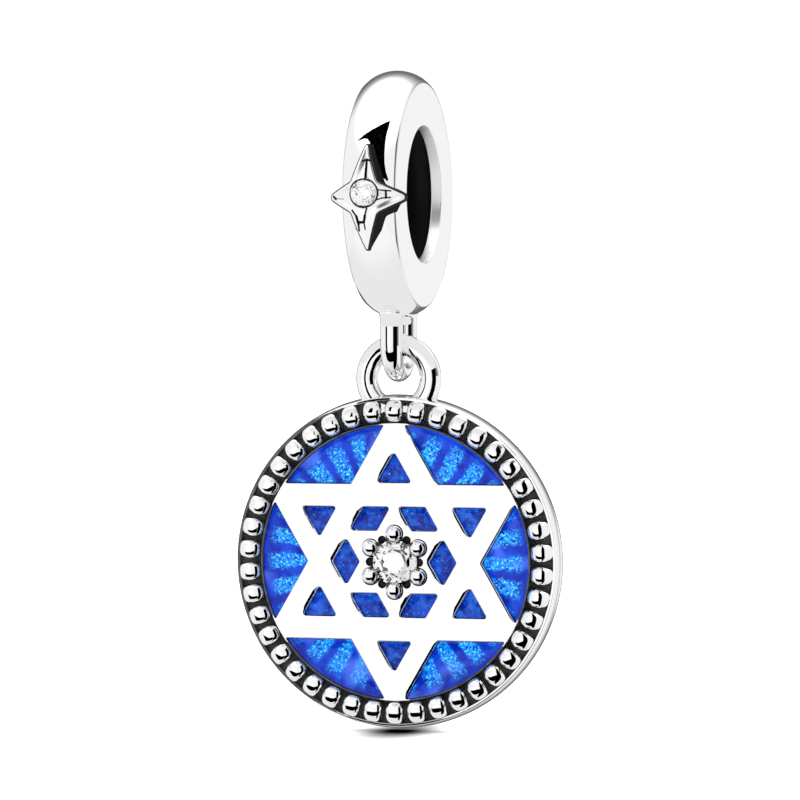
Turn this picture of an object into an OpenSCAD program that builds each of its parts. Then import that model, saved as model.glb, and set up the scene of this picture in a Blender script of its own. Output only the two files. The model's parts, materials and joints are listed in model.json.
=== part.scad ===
// A hanging charm: a hollow silver bail that rides on a bracelet, and a round enamelled
// disc with a six-pointed star that swings from it on two linked rings.
// The frame has +X along the bail's bore, +Z up and the disc's face towards -Y.
// The origin is the centre of the bore.

/* [Bail] */
// Diameter of the bore that the bracelet passes through
bore_d = 4.6; // [4.2:0.1:5]
// Width of the bail between its two flat faces
bail_w = 1.86; // [1.6:0.02:2.2]
// Radial width of each flat face, from the bore to the edge of the crown
face_w = 1.6; // [1.5:0.02:1.8]
// Height of the rounded crown above the edge of the flat faces
crown_h = 0.38; // [0.3:0.02:0.5]
// Thickness of the metal under the crown, over the hollow
crown_wall = 0.5; // [0.44:0.02:0.6]
// Thickness of each side wall, which shows as a bright lip inside the bore
side_wall = 0.36; // [0.28:0.02:0.44]

/* [Four-pointed star on the bail] */
// Height of the small star from tip to tip
spark_h = 3.62; // [3.2:0.02:3.8]
// Width of the small star from tip to tip
spark_w = 2.66; // [2.3:0.02:2.8]
// Radius of its rounded tips
spark_tip_r = 0.1; // [0.08:0.01:0.12]
// How far the hollow sides of the small star dip below a straight side
spark_dip = 0.3; // [0.22:0.02:0.32]
// How far the small star's middle stands above the crown
spark_rise = 0.42; // [0.36:0.02:0.5]
// Radius of the dome that rounds the small star's top
spark_dome_r = 2.4; // [2.2:0.1:3]
// How far the small star's underside lies below the crown
spark_skirt = 0.56; // [0.5:0.02:0.64]
// Width of the raised border of the small star
spark_border = 0.1; // [0.06:0.01:0.12]
// Depth of the channels inside that border
spark_channel = 0.12; // [0.06:0.01:0.16]
// Diameter of the small round stone
spark_stone_d = 0.88; // [0.76:0.02:0.92]
// How far the small stone's girdle lies below the middle of the small star's top
spark_stone_sink = 0.1; // [0.06:0.01:0.14]

/* [Linked rings] */
// Diameter of the wire of the loop under the bail
loop_wire_d = 0.74; // [0.66:0.02:0.8]
// Width between the two legs of that loop
loop_gap_w = 1.36; // [1.3:0.02:1.5]
// How far the loop's straight legs show below the crown
loop_leg_h = 0.8; // [0.7:0.02:0.9]
// Diameter of the wire of the ring on the disc
ring_wire_d = 0.77; // [0.67:0.02:0.81]
// Inner diameter of the ring on the disc
ring_bore_d = 1.51; // [1.45:0.02:1.7]
// Clearance between the two wires where one hangs in the other
hang_gap = 0.15; // [0.11:0.01:0.18]

/* [Disc] */
// Largest diameter of the disc
disc_d = 11.6; // [11.2:0.1:12.4]
// Thickness of the disc from its back to the top of its outer lip
disc_t = 1.1; // [1:0.02:1.2]
// How far the disc's edge bulges outwards between back and lip
edge_bulge = 0.1; // [0.06:0.01:0.16]
// Width of the thin outer lip at its top
lip_w = 0.1; // [0.06:0.01:0.14]
// Width of the blackened groove that holds the beads
groove_w = 0.78; // [0.72:0.01:0.84]
// Depth of the groove below the lip
groove_depth = 0.25; // [0.15:0.01:0.3]
// Width of the thin wall between the groove and the enamel
fence_w = 0.1; // [0.06:0.01:0.14]
// How far the disc's edge covers the hole of its ring
ring_cover = 0.2; // [0.14:0.01:0.24]

/* [Beads] */
// Number of beads in the border
bead_count = 42; // [36:1:44]
// Diameter of one bead
bead_d = 0.66; // [0.6:0.01:0.7]
// How far the middle of a bead lies below the top of the lip
bead_sink = 0.04; // [0:0.01:0.08]

/* [Six-pointed star] */
// Distance from the centre to the outer edges of the large star's bars
star_out = 2.7; // [2.62:0.01:2.8]
// Width of the large star's bars
star_bar_w = 0.74; // [0.66:0.01:0.8]
// Distance from the centre to the edges of the small inner star
inner_star_out = 1.04; // [1:0.01:1.1]
// Height of the star's polished top above the outer lip
star_rise = 0.1; // [0.04:0.01:0.16]

/* [Enamel] */
// Depth of the enamel cells below the star's top
cell_depth = 0.48; // [0.4:0.01:0.54]
// Radius of the cells' rounded corners
cell_round = 0.08; // [0.05:0.01:0.1]
// How far the enamel stays below the star's top where it meets the walls
enamel_drop = 0.16; // [0.1:0.01:0.2]
// How deep the enamel's surface sags in the middle of a cell
enamel_sag = 0.1; // [0.04:0.01:0.12]
// Clearance around each piece of enamel
enamel_gap = 0.02; // [0.01:0.01:0.03]

/* [Centre stone] */
// Diameter of the centre stone
stone_d = 1.56; // [1.46:0.02:1.6]
// How far the centre stone's girdle lies below the star's top
stone_sink = 0.05; // [0.02:0.01:0.1]
// Clearance around each stone
stone_gap = 0.02; // [0.01:0.01:0.03]
// Number of claws around the centre stone
claw_count = 6; // [6:1:6]
// Diameter of the round head of one claw
claw_d = 0.58; // [0.5:0.01:0.62]
// How far a claw's head laps over the edge of the stone
claw_lap = 0.08; // [0.05:0.01:0.12]
// Height of the middle of a claw's head above the star's top
claw_lift = 0.06; // [0.02:0.01:0.1]
// Diameter of the small notch cut between two claws
notch_d = 0.3; // [0.24:0.01:0.34]

/* [Hidden] */
metal = "silver";
enamel = "royalblue";
clear = "aliceblue";
smooth = 96;
fine = 32;
cells = [1:6];
eps = 0.01;

// The bail, measured outwards from the bore's axis
bore_r = bore_d / 2;
face_r = bore_r + face_w;
crown_r = face_r + crown_h;
crown_arc = (pow(bail_w / 2, 2) + pow(crown_h, 2)) / (2 * crown_h);
crown_mid_r = crown_r - crown_arc;
hollow_w = bail_w - 2 * side_wall;
spark_top = crown_r + spark_rise;
spark_floor = crown_r - spark_skirt;

// The linked rings, from the bail downwards
loop_mid_r = (loop_gap_w + loop_wire_d) / 2;
loop_z = -(crown_r + loop_leg_h);
loop_low_z = loop_z - loop_mid_r;
leg_foot_z = -(crown_r - crown_wall / 2);
ring_mid_r = (ring_bore_d + ring_wire_d) / 2;
swing_z = loop_low_z + (loop_wire_d + ring_wire_d) / 2 + hang_gap;
ring_z = swing_z - ring_mid_r;

// The disc in its own frame, as radius from its axis and height above its back
disc_r = disc_d / 2;
disc_z = ring_z - ring_bore_d / 2 + ring_cover - disc_r;
edge_arc = (pow(disc_t / 2, 2) + pow(edge_bulge, 2)) / (2 * edge_bulge);
groove_r = disc_r - edge_bulge - lip_w;
groove_in_r = groove_r - groove_w;
cell_r = groove_in_r - fence_w;
bead_r = (groove_r + groove_in_r) / 2;
star_top = disc_t + star_rise;
cell_floor = star_top - cell_depth;
star_in = star_out - star_bar_w;
enamel_floor = cell_floor + enamel_gap;
enamel_top = star_top - enamel_drop;

// The claws that hold the centre stone
stone_z = star_top - stone_sink;
claw_r = stone_d / 2 - claw_lap + claw_d / 2;
notch_r = stone_d / 2 + stone_gap + notch_d / 4;

// The round brilliant cut, as shares of its diameter
table_share = 0.56;
crown_share = 0.16;
crown_mid_share = 0.8;
girdle_share = 0.03;
pavilion_share = 0.43;
pavilion_mid_share = 0.24;
stone_sides = 8;

// A point at radius r and angle a.
function polar(r, a) = [r * cos(a), r * sin(a)];

// The point at distance a from the centre line turned by +30 degrees and b from that turned by
// -30 degrees, which is where two edges of a six-pointed star meet on the +X side.
function star_corner(a, b) = [(a + b) / (2 * cos(30)), a - b];

// Places a frame whose +Z is the world's -Y and whose Y is the world's Z.
module facing_front() {
    rotate([90, 0, 0]) children();
}

// Places the disc's own frame, with its back at the bottom.
module on_disc() {
    translate([0, disc_t / 2, disc_z]) facing_front() children();
}

// A ring of round wire about the Z axis, or an arc of it from +X.
module wire_ring(mid_r, wire_d, angle = 360) {
    rotate_extrude(angle = angle, $fn = smooth)
        translate([mid_r, 0]) circle(d = wire_d, $fn = smooth);
}

// The cut of both stones, with the bottom of the girdle at height 0. Its rings hold radius and
// height, from the table down to the middle of the pavilion.
function cut_rings(d) = let (
        girdle = girdle_share * d,
        crown = crown_share * d,
        pavilion = pavilion_share * d,
        table_r = table_share * d / 2,
        crown_mid = crown_mid_share * d / 2,
        pavilion_mid = pavilion_mid_share * d / 2,
        turn = cos(180 / stone_sides))
    [[table_r, girdle + crown],
     [crown_mid, girdle + crown * (d / 2 - crown_mid * turn) / (d / 2 - table_r)],
     [d / 2, girdle],
     [d / 2, 0],
     [pavilion_mid, -pavilion * (d / 2 - pavilion_mid * turn) / (d / 2)]];

// One ring of the cut as points: count of them, the first turned by half a facet or not.
function ring_points(ring, count, turned) =
    [for (k = [0:count - 1]) concat(polar(ring[0], 360 / count * (k + turned)), ring[1])];

// A round brilliant: 8 star, 8 kite and 16 upper facets round the table, a girdle of 16
// sides, and 16 lower and 8 kite facets down to the point.
module brilliant(d) {
    rings = cut_rings(d);
    n = stone_sides;
    full = 2 * n;
    top = full;
    bottom = top + full;
    low = bottom + full;
    culet = low + n;
    points = concat(
        ring_points(rings[0], n, 0),
        ring_points(rings[1], n, 0.5),
        ring_points(rings[2], full, 0),
        ring_points(rings[3], full, 0),
        ring_points(rings[4], n, 0.5),
        [[0, 0, -pavilion_share * d]]);
    stars = [for (k = [0:n - 1]) [k, (k + 1) % n, n + k]];
    kites = [for (k = [0:n - 1]) [k, n + k, top + 2 * k, n + (k + n - 1) % n]];
    uppers = [for (k = [0:n - 1], s = [0, 1])
        [n + k, top + (2 * k + 1 + s) % full, top + 2 * k + s]];
    girdle = [for (k = [0:full - 1])
        [top + k, top + (k + 1) % full, bottom + (k + 1) % full, bottom + k]];
    lowers = [for (k = [0:n - 1], s = [0, 1])
        [bottom + 2 * k + s, bottom + (2 * k + 1 + s) % full, low + k]];
    mains = [for (k = [0:n - 1]) [bottom + 2 * k, low + k, culet, low + (k + n - 1) % n]];
    polyhedron(points = points, faces = concat(
        [[for (k = [n - 1:-1:0]) k]], stars, kites, uppers, girdle, lowers, mains));
}

// The space that a stone needs, which is its turned outline and a clearance.
module stone_space(d) {
    rings = cut_rings(d);
    low = rings[4];
    rotate_extrude($fn = smooth) polygon([
        [0, -pavilion_share * d - stone_gap],
        [low[0] + stone_gap, low[1] - stone_gap],
        [d / 2 + stone_gap, -stone_gap],
        [d / 2 + stone_gap, rings[2][1] + stone_gap],
        [rings[1][0] + stone_gap, rings[1][1] + stone_gap],
        [rings[0][0] + stone_gap, rings[0][1] + stone_gap],
        [0, rings[0][1] + stone_gap]]);
}

// The four-pointed outline: round tips joined by hollow arcs that touch them. A smaller one
// for the channels has its tips and its arcs moved in by inset.
module spark_outline(inset = 0) {
    tip_r = spark_tip_r - inset / 2;
    up = spark_h / 2 - spark_tip_r - 2 * inset;
    side = spark_w / 2 - spark_tip_r - 2 * inset;
    dip = spark_dip + tip_r;
    half = norm([up, side]) / 2;
    reach = (half * half - dip * dip) / (2 * dip);
    mid = [side / 2, up / 2] + reach * [up, side] / (2 * half);
    arc_r = reach + spark_dip;
    touch_up = [0, up] + tip_r * (mid - [0, up]) / (arc_r + tip_r);
    touch_side = [side, 0] + tip_r * (mid - [side, 0]) / (arc_r + tip_r);
    difference() {
        polygon([
            touch_up, touch_side,
            [touch_side[0], -touch_side[1]], [touch_up[0], -touch_up[1]],
            [-touch_up[0], -touch_up[1]], [-touch_side[0], -touch_side[1]],
            [-touch_side[0], touch_side[1]], [-touch_up[0], touch_up[1]]]);
        for (a = [1, -1], b = [1, -1])
            translate([a * mid[0], b * mid[1]]) circle(r = arc_r, $fn = smooth);
    }
    for (s = [1, -1]) {
        translate([0, s * up]) circle(r = tip_r, $fn = smooth);
        translate([s * side, 0]) circle(r = tip_r, $fn = smooth);
    }
}

// A prism of the four-pointed outline with a domed top.
module spark_block(inset, drop) {
    intersection() {
        translate([0, 0, spark_floor]) linear_extrude(spark_top - spark_floor)
            spark_outline(inset);
        translate([0, 0, spark_top - spark_dome_r]) sphere(r = spark_dome_r - drop, $fn = smooth);
    }
}

// The small star: a raised border with lower channels inside it.
module spark() {
    difference() {
        spark_block(0, 0);
        translate([0, 0, spark_floor]) linear_extrude(spark_top) spark_outline(spark_border);
    }
    spark_block(spark_border, spark_channel);
}

// The crown of the bail in section, as far in as the radius from, between two flat sides.
module band_section(from, arc_r, width) {
    intersection() {
        translate([crown_mid_r, 0]) circle(r = arc_r, $fn = smooth);
        translate([face_r - crown_arc, -width / 2]) square([2 * crown_arc, width]);
    }
    translate([from, -width / 2]) square([face_r - crown_wall - from, width]);
}

module bail() {
    color(metal) difference() {
        union() {
            rotate([0, 90, 0]) rotate_extrude($fn = smooth)
                band_section(bore_r, crown_arc, bail_w);
            facing_front() spark();
            translate([0, 0, loop_z]) rotate([90, 180, 90])
                wire_ring(loop_mid_r, loop_wire_d, 180);
            for (s = [1, -1])
                translate([0, s * loop_mid_r, loop_z])
                    cylinder(d = loop_wire_d, h = leg_foot_z - loop_z, $fn = smooth);
        }
        rotate([0, 90, 0]) rotate_extrude($fn = smooth)
            band_section(bore_r - eps, crown_arc - crown_wall, hollow_w);
        facing_front() translate([0, 0, spark_top - spark_stone_sink])
            stone_space(spark_stone_d);
    }
}

module bail_stone() {
    color(clear) facing_front() translate([0, 0, spark_top - spark_stone_sink])
        brilliant(spark_stone_d);
}

// The middles of the round corners of the cell on the +X side, anticlockwise.
function corner_middles(kind) = let (
        outer = star_out + cell_round,
        inner = star_in - cell_round,
        small = inner_star_out + cell_round,
        far = cell_r - cell_round,
        spread = acos(outer / far) - 30,
        base = (inner - outer / 2) / sin(60))
    kind == "segment" ? [star_corner(outer, outer), polar(far, -spread), polar(far, spread)]
    : kind == "triangle" ? [[outer, -base], [2 * inner, 0], [outer, base]]
    : [star_corner(small, small), star_corner(small, inner),
       star_corner(inner, inner), star_corner(inner, small)];

// The edge from a to b, moved out by r.
function moved_edge(a, b, r) = let (out = [b[1] - a[1], a[0] - b[0]] / norm(b - a))
    [a + r * out, b + r * out];

// The outline of one enamel cell on the +X side, made smaller by a clearance.
module cell_outline(kind, clearance = 0) {
    middles = corner_middles(kind);
    round = cell_round - clearance;
    n = len(middles);
    polygon([for (k = [0:n - 1], p = moved_edge(middles[k], middles[(k + 1) % n], round)) p]);
    for (m = middles) translate(m) circle(r = round, $fn = smooth);
    if (kind == "segment")
        intersection() {
            circle(r = cell_r - clearance, $fn = 2 * smooth);
            polygon([middles[1], 2 * middles[1], 2 * middles[2], middles[2]]);
        }
}

// Turns cell number i to its place: triangles lie in the star's points, the rest between them.
module at_cell(kind, i) {
    rotate(60 * (i - 1) + (kind == "triangle" ? 30 : 0)) children();
}

// One piece of enamel, dished about the middle of its cell.
module enamel_piece(kind, i) {
    middle = kind == "segment" ? (star_out / cos(30) + cell_r) / 2
        : kind == "triangle" ? (2 * star_in + 2 * star_out) / 3
        : (star_in + inner_star_out) / (2 * cos(30));
    half = kind == "segment" ? (cell_r - star_out) / 2
        : kind == "triangle" ? (2 * star_in - star_out) / 3
        : (star_in - inner_star_out) / 2;
    dish_r = (half * half + enamel_sag * enamel_sag) / (2 * enamel_sag);
    color(enamel) on_disc() at_cell(kind, i) difference() {
        translate([0, 0, enamel_floor]) linear_extrude(enamel_top - enamel_floor)
            cell_outline(kind, enamel_gap);
        translate([middle, 0, enamel_top - enamel_sag + dish_r]) sphere(r = dish_r, $fn = smooth);
    }
}

// The disc in section: a plate for the star, the groove for the beads and the outer lip.
module disc_section() {
    difference() {
        intersection() {
            square([disc_r, disc_t]);
            translate([disc_r - edge_arc, disc_t / 2]) circle(r = edge_arc, $fn = smooth);
        }
        translate([groove_in_r, disc_t - groove_depth]) square([groove_w, disc_t]);
    }
    square([groove_in_r, star_top]);
}

module medallion() {
    color(metal) on_disc() difference() {
        union() {
            rotate_extrude($fn = 2 * smooth) disc_section();
            for (k = [0:bead_count - 1])
                rotate(90 + 360 / bead_count * k) translate([bead_r, 0, disc_t - bead_sink])
                    sphere(d = bead_d, $fn = fine);
            for (k = [0:claw_count - 1])
                rotate(90 + 360 / claw_count * k) translate([claw_r, 0, star_top + claw_lift])
                    sphere(d = claw_d, $fn = fine);
            translate([0, ring_z - disc_z, disc_t / 2]) wire_ring(ring_mid_r, ring_wire_d);
        }
        for (kind = ["segment", "triangle", "lozenge"], i = cells)
            at_cell(kind, i) translate([0, 0, cell_floor]) linear_extrude(cell_depth + eps)
                cell_outline(kind);
        translate([0, 0, stone_z]) stone_space(stone_d);
        for (k = [0:claw_count - 1])
            rotate(360 / claw_count * k) translate([notch_r, 0, cell_floor])
                cylinder(d = notch_d, h = cell_depth + eps, $fn = fine);
    }
}

module centre_stone() {
    color(clear) on_disc() translate([0, 0, stone_z]) brilliant(stone_d);
}

bail();
bail_stone();
medallion();
centre_stone();
for (i = cells) {
    enamel_piece("segment", i);
    enamel_piece("triangle", i);
    enamel_piece("lozenge", i);
}
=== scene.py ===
import json
import math

import bmesh
import bpy
import numpy as np
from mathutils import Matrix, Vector


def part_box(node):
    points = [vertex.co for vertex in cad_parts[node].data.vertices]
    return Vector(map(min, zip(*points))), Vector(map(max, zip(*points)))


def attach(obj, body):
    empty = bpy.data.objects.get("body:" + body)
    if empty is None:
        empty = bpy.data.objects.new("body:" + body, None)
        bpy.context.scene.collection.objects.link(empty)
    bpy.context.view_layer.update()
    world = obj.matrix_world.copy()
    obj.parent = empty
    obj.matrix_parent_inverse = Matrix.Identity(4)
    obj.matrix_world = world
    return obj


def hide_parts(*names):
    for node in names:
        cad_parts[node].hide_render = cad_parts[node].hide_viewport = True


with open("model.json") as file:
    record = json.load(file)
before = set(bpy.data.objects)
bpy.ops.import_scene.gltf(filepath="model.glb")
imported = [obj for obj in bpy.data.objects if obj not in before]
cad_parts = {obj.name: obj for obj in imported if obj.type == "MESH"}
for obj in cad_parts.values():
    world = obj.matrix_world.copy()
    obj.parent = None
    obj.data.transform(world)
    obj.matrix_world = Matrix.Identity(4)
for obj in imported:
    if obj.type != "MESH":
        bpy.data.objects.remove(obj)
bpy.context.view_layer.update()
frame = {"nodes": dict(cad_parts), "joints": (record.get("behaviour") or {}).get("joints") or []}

mm = 0.001
fullTurn = 2 * math.pi
white = (1, 1, 1, 1)
black = (0, 0, 0, 1)
print("frame loaded:", len(frame["nodes"]), "nodes")

# Where things are, in millimetres, as the solids have them
swingZ = frame["joints"][0]["pos_m"][2] / mm      # where the ring hangs in the loop
stoneLow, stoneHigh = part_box("centre_stone")
discZ = (stoneLow[2] + stoneHigh[2]) / 2 / mm     # height of the disc's centre
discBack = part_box("medallion")[1][1] / mm         # y of the disc's back
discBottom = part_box("medallion")[0][2] / mm


# Small helpers for numbers and colours
def clamp(value):
    return min(max(value, 0), 1)


def ease(value):
    t = clamp(value)
    return t * t * (3 - 2 * t)


def unit(angle):
    return np.array([math.cos(angle), math.sin(angle)])


def arcRadius(half, rise):      # of an arc with this half width and this rise
    return (half ** 2 + rise ** 2) / (2 * rise)


def grey(level):
    return (level, level, level, 1)


# Helpers for meshes, all in millimetres
def newObject(name, verts, faces, materials, slots=None):
    mesh = bpy.data.meshes.new(name)
    mesh.from_pydata([tuple(c * mm for c in v) for v in verts], [], [tuple(f) for f in faces])
    for material in materials:
        mesh.materials.append(material)
    if slots is not None:
        mesh.polygons.foreach_set("material_index", slots)
    work = bmesh.new()
    work.from_mesh(mesh)
    bmesh.ops.remove_doubles(work, verts=work.verts, dist=1e-9)
    bmesh.ops.recalc_face_normals(work, faces=work.faces)
    for face in work.faces:
        face.smooth = True
    work.to_mesh(mesh)
    work.free()
    made = bpy.data.objects.new(name, mesh)
    bpy.context.scene.collection.objects.link(made)
    return made


def joinAll(name, parts):
    bpy.ops.object.select_all(action="DESELECT")
    for part in parts:
        part.select_set(True)
    bpy.context.view_layer.objects.active = parts[0]
    bpy.ops.object.join()
    parts[0].name = name
    parts[0].data.name = name
    return parts[0]


# The faces between two closed rows of points that start at a and at b
def strip(a, b, count):
    return [(a + i, a + (i + 1) % count, b + (i + 1) % count, b + i) for i in range(count)]


# Rounds the corners of a closed outline of (u, v, radius, slot), with a point just beyond each
# end of an arc so that the flats beside it stay flat when shaded
def roundOutline(corners, steps=6, support=0.012):
    points, slots = [], []
    count = len(corners)
    for i, (u, v, radius, slot) in enumerate(corners):
        here = Vector((u, v))
        before = Vector(corners[i - 1][:2]) - here
        after = Vector(corners[(i + 1) % count][:2]) - here
        if radius <= 0:
            points.append((u, v))
            slots.append(slot)
            continue
        before.normalize()
        after.normalize()
        half = before.angle(after) / 2
        reach = radius / math.tan(half)
        middle = here + (before + after).normalized() * (radius / math.sin(half))
        arm = here + before * reach - middle
        swing = arm.angle_signed(here + after * reach - middle)
        row = [here + before * (reach + support)]
        for k in range(steps + 1):
            a = -swing * k / steps
            row.append(middle + Vector((arm.x * math.cos(a) - arm.y * math.sin(a),
                                        arm.x * math.sin(a) + arm.y * math.cos(a))))
        row.append(here + after * (reach + support))
        points += [(p.x, p.y) for p in row]
        slots += [corners[i - 1][3]] + [slot] * (len(row) - 1)
    return points, slots


# Turns a closed outline of (radius, height) about an axis. place(radius, height, angle) gives
# the point, and slot k is that of the strip from point k to the next.
def lathe(name, outline, slots, place, steps, materials):
    rows = len(outline)
    verts = [place(r, h, fullTurn * s / steps) for s in range(steps) for r, h in outline]
    faces = []
    for s in range(steps):
        faces += strip(s * rows, (s + 1) % steps * rows, rows)
    return newObject(name, verts, faces, materials, slots * steps)


# A round tube along points that lie in one plane, whose other direction is side
def tube(name, path, radii, side, materials, sides=40, closed=False):
    path = [Vector(p) for p in path]
    side = Vector(side)
    verts, faces = [], []
    count = len(path)
    for i, p in enumerate(path):
        ahead = path[(i + 1) % count] if closed or i < count - 1 else p
        behind = path[i - 1] if closed or i > 0 else p
        out = (ahead - behind).normalized().cross(side)
        for k in range(sides):
            a = fullTurn * k / sides
            verts.append(p + (side * math.cos(a) + out * math.sin(a)) * radii[i])
    for i in range(count if closed else count - 1):
        faces += strip(i * sides, (i + 1) % count * sides, sides)
    if not closed:
        faces += [tuple(range(sides)), tuple(range((count - 1) * sides, count * sides))]
    return newObject(name, verts, faces, materials)


# Shader maths: a Link is one output socket, and sums of links add Math nodes
class Link:
    def __init__(self, shader, socket):
        self.shader, self.socket = shader, socket

    def __add__(self, other):
        return self.shader.calc("ADD", self, other)

    def __sub__(self, other):
        return self.shader.calc("SUBTRACT", self, other)

    def __rsub__(self, other):
        return self.shader.calc("SUBTRACT", other, self)

    def __mul__(self, other):
        return self.shader.calc("MULTIPLY", self, other)

    def __truediv__(self, other):
        return self.shader.calc("DIVIDE", self, other)

    def __pow__(self, other):
        return self.shader.calc("POWER", self, other)

    __radd__ = __add__
    __rmul__ = __mul__


class Shader:
    def __init__(self, owner):
        owner.use_nodes = True
        self.tree = owner.node_tree
        self.tree.nodes.clear()

    # Any node: settings first, then values or links for its sockets, and the output wanted
    def node(self, kind, settings=None, inputs=None, out=0):
        made = self.tree.nodes.new(kind)
        for key, value in (settings or {}).items():
            setattr(made, key, value)
        for key, value in (inputs or {}).items():
            if isinstance(value, Link):
                self.tree.links.new(value.socket, made.inputs[key])
            else:
                made.inputs[key].default_value = value
        return Link(self, made.outputs[out]) if made.outputs else None

    def calc(self, operation, *values):
        return self.node("ShaderNodeMath", {"operation": operation}, dict(enumerate(values)))

    def step(self, value, low, high, bottom=0.0, top=1.0):
        return self.node("ShaderNodeMapRange", {"interpolation_type": "SMOOTHSTEP"},
                         {0: value, 1: low, 2: high, 3: bottom, 4: top})

    def mix(self, factor, a, b):
        return self.node("ShaderNodeMix", {"data_type": "RGBA"}, {0: factor, 6: a, 7: b}, 2)

    def noise(self, scale, detail=2.0, rough=0.5, lacunarity=2.0):
        return self.node("ShaderNodeTexNoise", {},
                         {"Vector": self.place(), "Scale": scale, "Detail": detail, "Roughness": rough,
                          "Lacunarity": lacunarity})

    def place(self):      # object coordinates in millimetres
        spot = self.node("ShaderNodeTexCoord", out="Object")
        return self.node("ShaderNodeVectorMath", {"operation": "SCALE"}, {0: spot, "Scale": 1 / mm})

    def parts(self, vector, axes):
        return [self.node("ShaderNodeSeparateXYZ", {}, {0: vector}, axis) for axis in axes]

    def bump(self, height, strength, distance):      # distance in millimetres
        return self.node("ShaderNodeBump", {},
                         {"Strength": strength, "Distance": distance * mm, "Height": height})

    def finishSurface(self, sockets):
        surface = self.node("ShaderNodeBsdfPrincipled", {}, sockets)
        self.node("ShaderNodeOutputMaterial", {}, {"Surface": surface})


def newMaterial(name):
    made = bpy.data.materials.new(name)
    return made, Shader(made)


# Camera: a long lens at the photo's angle
view = {"azimuth": 15.0, "elevation": 1.9, "roll": -0.12, "distance": 160.0, "frameWidth": 27.71,
        "right": 0.04, "down": 7.12, "sensor": 36.0, "nearest": 1.0, "farthest": 10000.0}


def cameraAxes():
    az, el = math.radians(view["azimuth"]), math.radians(view["elevation"])
    right = Vector((math.cos(az), math.sin(az), 0))
    back = Vector((math.sin(az) * math.cos(el), -math.cos(az) * math.cos(el), math.sin(el)))
    return right, back.cross(right), back


def makeCamera():
    right, up, back = cameraAxes()
    aim = right * view["right"] - up * view["down"]
    data = bpy.data.cameras.new("camera")
    data.sensor_width = view["sensor"]
    data.lens = view["sensor"] * view["distance"] / view["frameWidth"]
    data.clip_start = view["nearest"] * mm
    data.clip_end = view["farthest"] * mm
    camera = bpy.data.objects.new("camera", data)
    camera.location = (aim + back * view["distance"]) * mm
    camera.rotation_euler = back.to_track_quat("Z", "Y").to_euler()
    camera.rotation_euler.rotate_axis("Z", math.radians(view["roll"]))
    bpy.context.scene.collection.objects.link(camera)
    bpy.context.scene.camera = camera


makeCamera()
print("camera set")

# Studio: a white surround given by direction, and cards that only reflections see. Azimuth is
# measured from the disc's front towards its right, and elevation above the horizon.
studio = {
    "level": 0.94, "front": 0.2, "frontSpread": (35, 15), "sky": 1.7, "skyFrom": (30, 72),
    "lowLoss": 0.10, "lowFrom": (-15, -75), "behind": 0.84, "behindSpread": (56, 18),
    "window": (164, -4), "windowSpread": (12, 6), "backdrop": 1.02,
    "floorDrop": 0.12, "floorColor": 0.9, "floorRoughness": 0.9, "floorGlow": 0.6, "floorSize": 4000.0,
    # contact settings: reach, samples, power, size and softness of the floor's painted shadow
    "contactReach": 4.5, "contactSamples": 16, "contactPower": 4.0, "contactSize": (2.05, 5.2),
    "contactSoft": (1.0, 0.15),
}
# Each card: two opposite corners of an upright or level rectangle, how bright its front and its
# back are, and between which depths the one fades to the other
cards = {
    "cardRight": ((5.9, -1.5, -40), (6.2, -9.0, -4.6), 0.0, 0.0, (0, 1)),
    "cardBelow": ((-37, -27, -50), (29, -27, -20.9), 0.0, 0.0, (0, 1)),
    "cardLoop": ((-2.2, -3.6, -7.5), (-1.0, -3.6, -4.6), 0.0, 0.0, (0, 1)),
    "cardBail": ((7.0, -4.8, -6.0), (7.0, 3.0, 5.5), 0.15, 0.94, (-1.0, 3.0)),
    "cardShelf": ((-6, -10, -4.55), (6, 0.3, -4.55), 0.98, 0.85, (-6.5, -2.5)),
}


def direction(azimuth, elevation):
    a, e = math.radians(azimuth), math.radians(elevation)
    return Vector((math.sin(a) * math.cos(e), -math.cos(a) * math.cos(e), math.sin(e)))


def makeStudio():
    scene = bpy.context.scene
    scene.world = bpy.data.worlds.new("studio")
    shader = Shader(scene.world)
    aim = shader.node("ShaderNodeTexCoord", out="Generated")
    height = shader.calc("ARCSINE", shader.parts(aim, "Z")[0]) * (180 / math.pi)

    def near(way, spread):
        dot = shader.node("ShaderNodeVectorMath", {"operation": "DOT_PRODUCT"}, {0: aim, 1: way}, "Value")
        return shader.step(dot, *[math.cos(math.radians(a)) for a in spread])

    front = near(direction(-view["azimuth"], -view["elevation"]), studio["frontSpread"])
    behind = near(-direction(view["azimuth"], view["elevation"]), studio["behindSpread"])
    window = near(direction(*studio["window"]), studio["windowSpread"])
    sky = shader.step(height, *studio["skyFrom"])
    low = shader.step(height, *studio["lowFrom"])
    seen = shader.node("ShaderNodeLightPath", out="Is Camera Ray")
    light = studio["level"] + front * studio["front"] + sky * studio["sky"] - low * studio["lowLoss"]
    light = light * (1 - behind * (1 - window) * studio["behind"])
    light = light * (1 - seen) + seen * studio["backdrop"]
    backing = shader.node("ShaderNodeBackground", {}, {"Color": white, "Strength": light})
    shader.node("ShaderNodeOutputWorld", {}, {"Surface": backing})


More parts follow.
